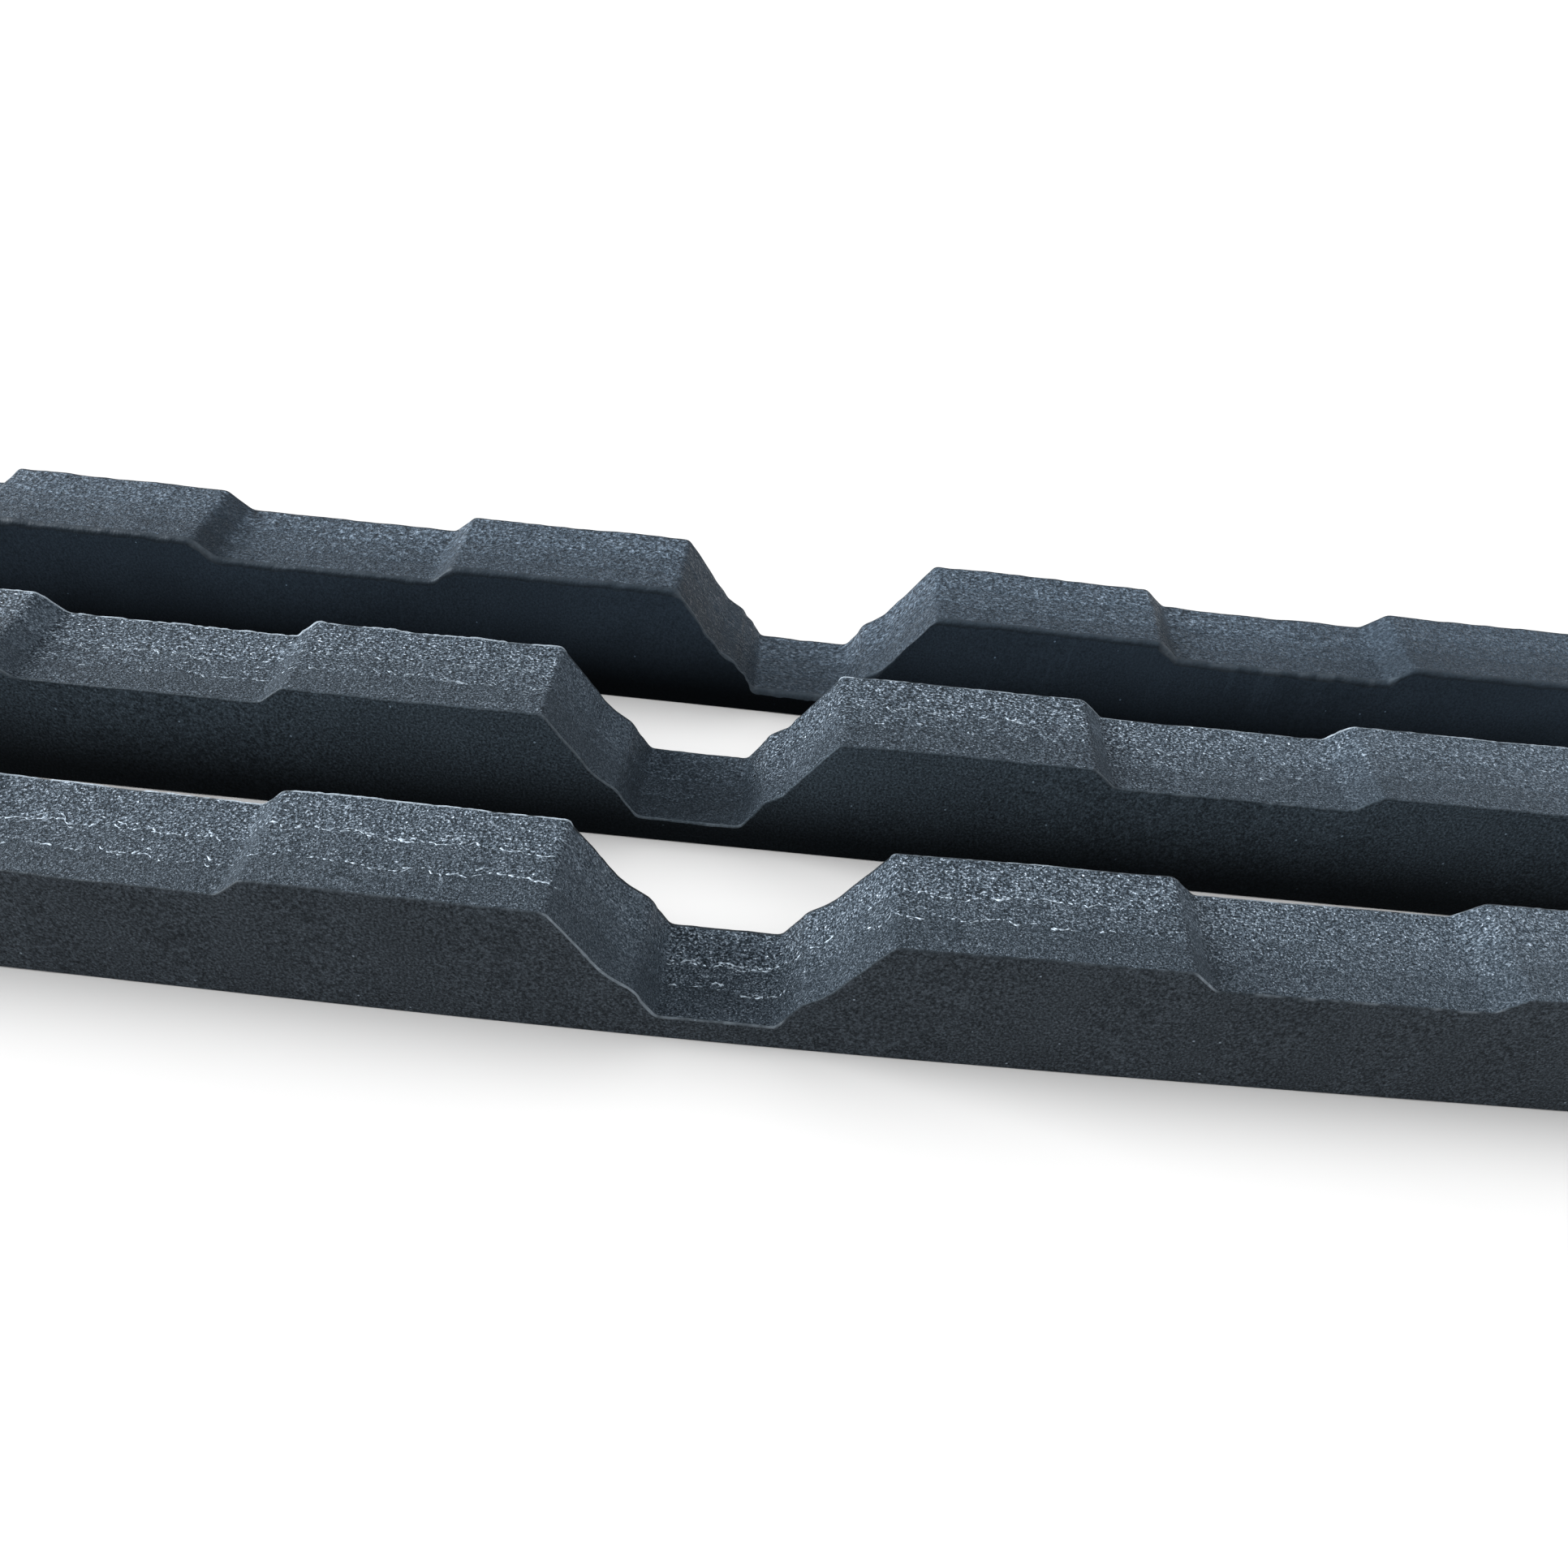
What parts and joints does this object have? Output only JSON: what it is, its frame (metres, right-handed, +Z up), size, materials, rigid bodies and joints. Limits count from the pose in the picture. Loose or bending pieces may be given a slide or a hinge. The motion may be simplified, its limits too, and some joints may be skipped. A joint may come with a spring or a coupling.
{
  "type": "profiled foam closure strip set",
  "caption": "Loose closed-cell foam closure strips with a cut rib profile on top, each bonded from plies, for the gap under a ribbed roofing sheet.",
  "frame": {"origin": "middle of the middle strip's flat underside, on the surface that the strips lie on", "axes": "+X along the strips, +Y from the front strip towards the back strip, +Z up from the flat underside to the cut profile"},
  "size_m": [1.0217, 0.1313, 0.031],
  "materials": {
    "closed_cell_foam": "matte"
  },
  "bodies": {
    "middle_strip": {"middle_strip_near_ply": "closed_cell_foam", "middle_strip_core_ply": "closed_cell_foam", "middle_strip_far_ply": "closed_cell_foam"},
    "front_strip": {"front_strip_near_ply": "closed_cell_foam", "front_strip_core_ply": "closed_cell_foam", "front_strip_far_ply": "closed_cell_foam"},
    "back_strip": {"back_strip_near_ply": "closed_cell_foam", "back_strip_core_ply": "closed_cell_foam", "back_strip_far_ply": "closed_cell_foam"}
  },
  "joints": [
    {"name": "front_strip_lift", "type": "slide", "parent": "middle_strip", "child": "front_strip", "axis": [0, 0, 1], "range_m": [0, 0.06]},
    {"name": "back_strip_lift", "type": "slide", "parent": "middle_strip", "child": "back_strip", "axis": [0, 0, 1], "range_m": [0, 0.06]}
  ]
}
